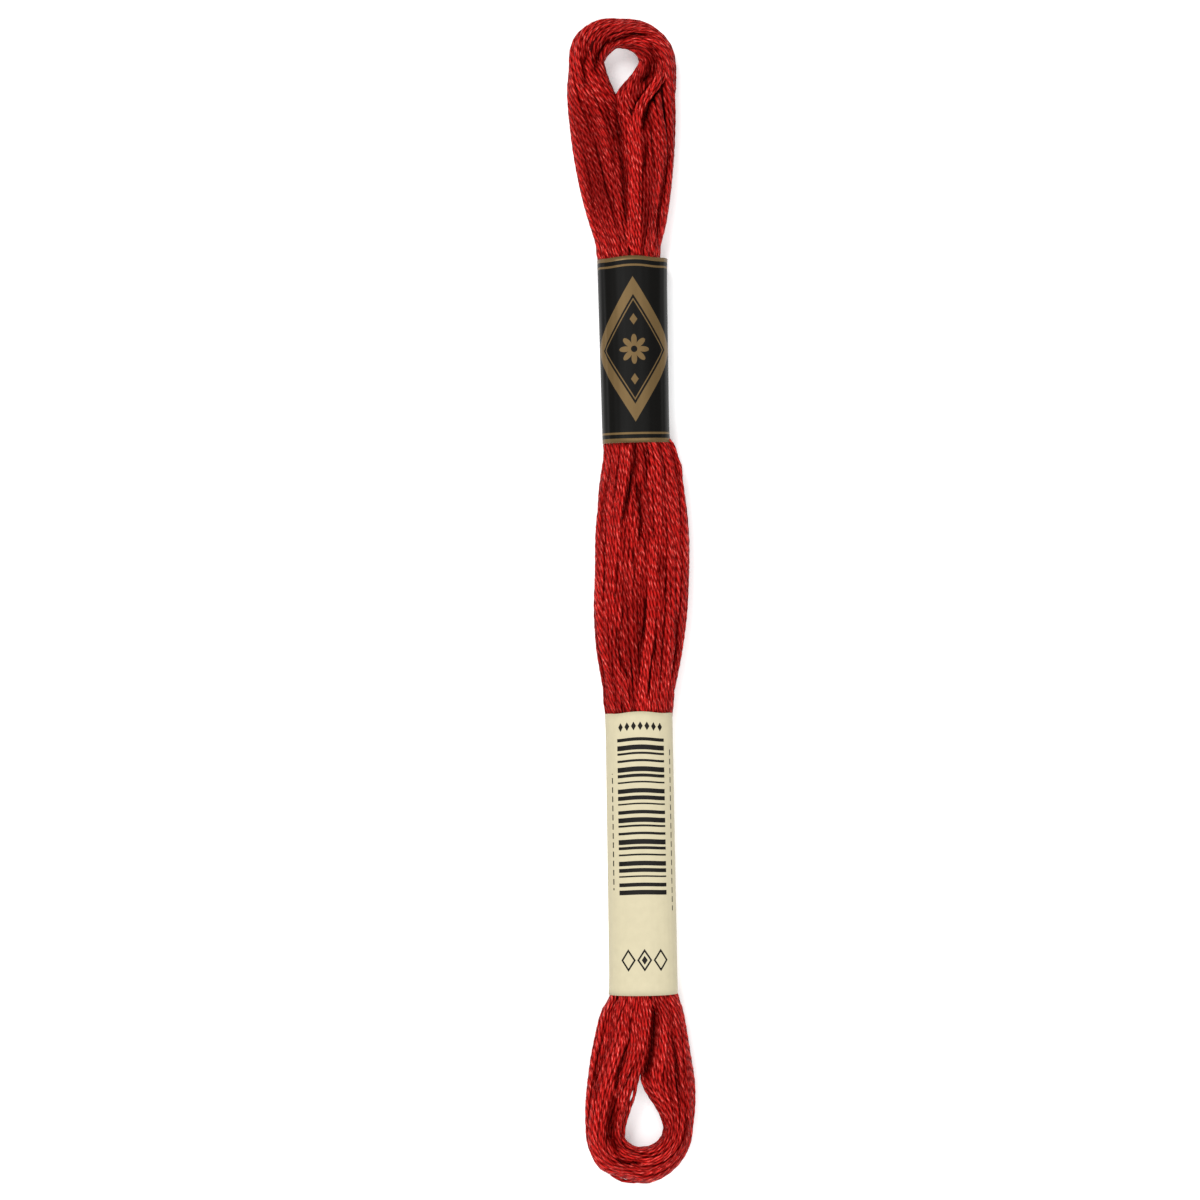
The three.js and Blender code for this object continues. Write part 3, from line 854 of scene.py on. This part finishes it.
def make_band(row, random):
    """A strip of paper round both legs, its end glued over its start underneath."""
    band = dict(zip(BAND_COLUMNS, row))
    half_width = (band["right"] - band["left"]) / 2
    half_height = (band["top"] - band["under"]) / 2
    end = LAP_START + 360 + LAP_WIDTH
    angle = np.linspace(LAP_START, end, 1 + round((end - LAP_START) / PAPER_STEPS))
    share = np.linspace(0, 1, PAPER_ROWS + 1)
    climb = (PAPER + PAPER_INSET) * ease((angle - LAP_START - 360 + LAP_RAMP) / LAP_RAMP)
    turn = np.radians(angle)
    count = len(RIDGE_WAVES)
    ranges = [random.uniform(*limits, count) for limits in RIDGE_RANGES]
    ridges = sum(
        size * np.sin(turn * waves + begin)[:, None] * np.cos(math.tau * share * drift + 2 * begin)
        for waves, size, drift, begin in zip(RIDGE_WAVES, *ranges)
    ) / math.sqrt(count)
    near_end = sum(np.exp(-far * band["length"] / EDGE_REACH) for far in (share, 1 - share))
    lift = 0.5 + 0.5 * np.sin(EDGE_LIFTS * turn + random.uniform(*WAVE_STARTS))
    base = climb[:, None] + RIDGE * ridges + EDGE_LIFT * near_end * lift[:, None]
    cos, sin = rounded_square(turn[:, None], PAPER_SQUARENESS)
    left = band["left"] + (band["end_left"] - band["left"]) * share
    right = band["right"] + (band["end_right"] - band["right"]) * share
    centre = (left + right) / 2
    wave = EDGE_WAVE * np.sin(EDGE_WAVES * turn) - EDGE_ARC * np.cos(turn) ** 2
    lean = (centre[-1] - centre[0]) / band["length"]
    sides = []
    for depth in (PAPER_INSET, PAPER_INSET + PAPER):
        x = centre + cos * (half_width + (base - depth)) * (right - left) / 2 / half_width
        y = band["y"] - share * band["length"] + wave[:, None] * (1 - share) + lean * (x - centre)
        z = sin * (half_height + (base - depth)) + (band["top"] + band["under"]) / 2
        sides.append(np.stack([x, y, z], 2))
    columns, rows = base.shape
    points = np.concatenate([side.reshape(-1, 3) for side in sides])
    outer = np.arange(base.size).reshape(columns, rows)
    front = np.stack([outer[:-1, :-1], outer[:-1, 1:], outer[1:, 1:], outer[1:, :-1]], 2).reshape(-1, 4)
    rim = np.concatenate([outer[:, 0], outer[-1, 1:], outer[-2::-1, -1], outer[0, -2:0:-1]])
    after = np.roll(rim, -1)
    edges = np.stack([rim, after, after + base.size, rim + base.size], 1)
    quads = np.concatenate([front, front[:, (0, 3, 2, 1)] + base.size, edges])
    around = lengths_along(sides[0][:, rows // 2])
    across = np.interp(FRONT, angle, around) - around
    flat = np.stack([np.repeat(across, rows), np.tile(share * band["length"], columns)], 1)
    uv = np.concatenate([flat, flat])[quads.ravel()]
    piece = build_mesh(band["name"] + "_paper", points, quads, uv, np.zeros(len(points)))
    back = np.ones(len(quads), np.int32)
    back[:len(front)] = 0
    piece.data.polygons.foreach_set("material_index", back)
    return piece


class Paint:
    """A material made of nodes, with masks from the millimetres of a mesh's UV map."""

    def __init__(self, name, finish):
        self.material = bpy.data.materials.new(name)
        self.material.use_nodes = True
        self.shader = self.material.node_tree.nodes["Principled BSDF"]
        self.fill(self.shader, finish)
        self.place = self.node("ShaderNodeUVMap", {}).outputs["UV"]
        self.across, self.down = self.node("ShaderNodeSeparateXYZ", {0: self.place}).outputs[:2]

    def fill(self, node, sockets):
        """Link each socket to an output, or set it to a value."""
        for name, value in sockets.items():
            if isinstance(value, bpy.types.NodeSocket):
                self.material.node_tree.links.new(value, node.inputs[name])
            else:
                node.inputs[name].default_value = value

    def node(self, kind, sockets, **settings):
        node = self.material.node_tree.nodes.new(kind)
        for name, value in settings.items():
            setattr(node, name, value)
        self.fill(node, sockets)
        return node

    def do(self, operation, *values):
        return self.node("ShaderNodeMath", dict(enumerate(values)), operation=operation).outputs[0]

    def within(self, value, low, high):
        """1 where value is from low to high."""
        return self.do("MULTIPLY", self.do("GREATER_THAN", value, low), self.do("LESS_THAN", value, high))

    def all(self, *masks):
        return functools.reduce(lambda *pair: self.do("MULTIPLY", *pair), masks)

    def any(self, *masks):
        return functools.reduce(lambda *pair: self.do("MAXIMUM", *pair), masks)

    def distance(self, value, middle):
        return self.do("ABSOLUTE", self.do("SUBTRACT", value, middle))

    def diamond(self, across, down, half_width, half_height):
        """Diamond distance from a middle, 1 on the rim."""
        x = self.do("DIVIDE", self.distance(self.across, across), half_width)
        y = self.do("DIVIDE", self.distance(self.down, down), half_height)
        return self.do("ADD", x, y)

    def ramp(self, value, low, high, kind="LINEAR"):
        """0 to 1 as value goes from low to high."""
        sockets = {"Value": value, "From Min": low, "From Max": high}
        return self.node("ShaderNodeMapRange", sockets, interpolation_type=kind).outputs["Result"]

    def noise(self, place, scale):
        sockets = {"Vector": place, "Scale": scale, "Detail": NOISE_DETAIL}
        return self.node("ShaderNodeTexNoise", sockets).outputs["Fac"]

    def mix(self, share, *colours):
        """A colour between two, each an output or red, green and blue."""
        first, last = [end if isinstance(end, bpy.types.NodeSocket) else (*end, 1) for end in colours]
        return self.node("ShaderNodeMix", {0: share, 6: first, 7: last}, data_type="RGBA").outputs[2]

    def finish(self, colour, height, strength, distance):
        """The material with its colour and bumps, distance in millimetres."""
        sockets = {"Height": height, "Strength": strength, "Distance": distance * MM}
        bump = self.node("ShaderNodeBump", sockets)
        self.fill(self.shader, {"Base Color": colour, "Normal": bump.outputs["Normal"]})
        return self.material


def dark_print(paint):
    """Gold rules at both edges and a tall lozenge with an eight-petalled rosette."""
    rules = [paint.within(paint.down, low, high) for low, high in DARK_RULES]
    frame_shape = paint.diamond(0, LOZENGE_DOWN, LOZENGE_WIDTH, LOZENGE_HEIGHT)
    lozenge = [paint.within(frame_shape, low, high) for low, high in LOZENGE_RINGS]
    x = paint.across
    y = paint.do("SUBTRACT", paint.down, LOZENGE_DOWN)
    radius = paint.do("SQRT", paint.do("ADD", paint.do("MULTIPLY", x, x), paint.do("MULTIPLY", y, y)))
    turn = paint.do("ARCTAN2", y, x)
    petal = paint.do("ABSOLUTE", paint.do("COSINE", paint.do("MULTIPLY", turn, PETALS / 2)))
    reach = paint.do("MULTIPLY_ADD", petal, ROSETTE_PETAL, ROSETTE_HEART)
    rosette = paint.within(radius, ROSETTE_EYE, reach)
    small = [paint.do("LESS_THAN", paint.diamond(*shape), 1) for shape in SMALL_LOZENGES]
    return paint.any(*rules, *lozenge, rosette, *small)


def pale_print(paint):
    """Stripes of growing and shrinking width, rows of stitches and rows of diamonds."""
    down = paint.do("DIVIDE", paint.do("SUBTRACT", paint.down, STRIPE_START), STRIPE_PITCH)
    wave = paint.do("SINE", paint.do("MULTIPLY", paint.do("FLOOR", down), STRIPE_RHYTHM))
    width = paint.do("MULTIPLY_ADD", wave, STRIPE_SWELL, STRIPE_WIDTH)
    marks = [paint.all(
        paint.do("LESS_THAN", paint.do("FRACT", down), width),
        paint.within(paint.down, STRIPE_START, STRIPE_START + STRIPES * STRIPE_PITCH),
        paint.within(paint.across, *STRIPE_SIDES),
    )]
    stitch = paint.do("FRACT", paint.do("DIVIDE", paint.down, STITCH_PITCH))
    stitch = paint.do("LESS_THAN", stitch, STITCH_PART)
    for left, top, bottom in STITCH_ROWS:
        column = paint.within(paint.across, left, left + STITCH_WIDTH)
        marks.append(paint.all(stitch, column, paint.within(paint.down, top, bottom)))
    for count, pitch, (middle, down), half_size, hollow in DIAMOND_ROWS:
        for number in range(count):
            across = middle + pitch * (number - (count - 1) / 2)
            marks.append(paint.within(paint.diamond(across, down, *half_size), hollow, 1))
    return paint.any(*marks)


def paper_material(name, print_mask, paper, ink, roughness, ink_metal):
    """Faintly mottled paper with a little grain, and ink where the mask has it printed."""
    paint = Paint(name, {"Roughness": roughness, "Specular IOR Level": PAPER_GLOSS})
    grain = paint.noise(paint.node("ShaderNodeTexCoord", {}).outputs["Object"], PAPER_GRAIN)
    colour = paint.mix(grain, *[[min(1, share * part) for part in paper] for share in PAPER_MOTTLE])
    if print_mask:
        mask = print_mask(paint)
        colour = paint.mix(mask, colour, ink)
        if ink_metal:
            paint.fill(paint.shader, {"Metallic": paint.do("MULTIPLY", mask, ink_metal)})
    return paint.finish(colour, grain, *PAPER_BUMP)


def thread_material(name, dark, light, glint_colour, roughness):
    """Mercerised cotton: reds that vary by strand, painted shade in the grooves and on the lines between
    the two plies, and painted highlights in flecks and glints.
    """
    paint = Paint(name, {
        "Roughness": roughness,
        "Metallic": COTTON_METAL,
        "Specular IOR Level": COTTON_GLOSS,
        "Specular Tint": GLOSS_TINT,
    })
    across_ply = paint.do("FRACT", paint.do("MULTIPLY", paint.across, PLIES))
    crest = paint.ramp(paint.distance(across_ply, 0.5), *CREST, kind="SMOOTHSTEP")
    stretched = paint.node("ShaderNodeMapping", {"Vector": paint.place, "Scale": FIBRES})
    fibres = paint.noise(stretched.outputs["Vector"], 1)
    tone_and_shade = paint.node("ShaderNodeAttribute", {}, attribute_name="tone_and_shade").outputs["Fac"]
    # Painted highlight flecks along the fibres
    painted_flecks = paint.do("MULTIPLY_ADD", paint.ramp(fibres, *FLECK), 1 - FLECK_LEAST, FLECK_LEAST)
    # Painted shade on the lines between the two plies, darkest where they meet
    painted_ply_shade = paint.do("MULTIPLY_ADD", crest, 1 - CREST_LEAST, CREST_LEAST)
    # Painted highlight: glints of the glossy colour on the crests, where the fibre noise is high
    painted_glints = paint.all(paint.ramp(fibres, *GLINT), crest, tone_and_shade)
    colour = paint.mix(painted_glints, paint.mix(paint.all(tone_and_shade, painted_flecks, painted_ply_shade), dark, light), glint_colour)
    return paint.finish(colour, paint.do("MULTIPLY_ADD", fibres, FIBRE_BUMP, crest), *COTTON_BUMP)


def add_light(name, place, size, power):
    """A soft square light that points at the middle of the object."""
    data = bpy.data.lights.new(name, "AREA")
    data.size = size
    data.energy = power
    light = add_object(name, data)
    light.location = place
    light.rotation_euler = (-Vector(place)).to_track_quat("-Z", "Y").to_euler()


def add_stage():
    """The pale floor, the studio light and the camera."""
    mesh = bpy.data.meshes.new("floor")
    corners = [(x * FLOOR_REACH, y * FLOOR_REACH, 0) for x, y in ((-1, -1), (1, -1), (1, 1), (-1, 1))]
    mesh.from_pydata(corners, [], [(0, 1, 2, 3)])
    material = bpy.data.materials.new("floor")
    material.use_nodes = True
    for socket, value in FLOOR_FINISH.items():
        material.node_tree.nodes["Principled BSDF"].inputs[socket].default_value = value
    mesh.materials.append(material)
    add_object("floor", mesh)
    for light in LIGHTS:
        add_light(*light)
    world = bpy.data.worlds.new("studio")
    world.use_nodes = True
    background = world.node_tree.nodes["Background"].inputs
    background["Color"].default_value = (1, 1, 1, 1)
    background["Strength"].default_value = WORLD_LIGHT
    bpy.context.scene.world = world
    data = bpy.data.cameras.new("camera")
    data.sensor_width = SENSOR
    data.lens = SENSOR * VIEW_DISTANCE / VIEW_WIDTH
    camera = add_object("camera", data)
    camera.location = Vector(CAMERA_PLACE) * MM
    bpy.context.scene.camera = camera
    bpy.context.scene.view_settings.view_transform = "Standard"


def dress(piece, node, slot, *materials):
    """Give a piece its materials, hang it from the root and hide the CAD part that it stands for. The
    slot is not used.
    """
    for material in materials:
        piece.data.materials.append(material)
    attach(piece, "root")
    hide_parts(node)


add_stage()
random = np.random.default_rng(SEED)
hank = hank_sections()
middle, half, rim, area = polar_outline(hank, SKIN)
spacing = PACKING * np.sqrt(area / (TRIANGLE * TURNS * STRANDS))
place = first_places(hank, rim, random)
place = settle(hank, place, middle, rim, half, spacing, random)
pieces, surface = strand_pieces(hank, middle, place, spacing, random)
papers = (
    ("dark_paper", dark_print, DARK_PAPER),
    ("pale_paper", pale_print, PALE_PAPER),
)
back = paper_material("paper_back", None, *PAPER_BACK)
for row, (slot, print_mask, looks) in zip(BANDS, papers):
    dress(make_band(row, random), row[0], slot, paper_material(slot, print_mask, *looks), back)
core = make_core(hank)
for number, points in enumerate(LOOSE_STRANDS):
    pieces.append(single_strands(f"loose_strand_{number + 1}", even_way(points)[:, None], 0, LOOSE_TONE))
for number, points in enumerate(BUNDLES):
    pieces.append(laid_bundle(f"bundle_{number + 1}", points, surface, random))
cotton = thread_material("cotton", *COTTON)
for piece in pieces:
    dress(piece, "skein", "thread", cotton)
dress(core, "skein", "thread", thread_material("cotton_shade", *SHADE))
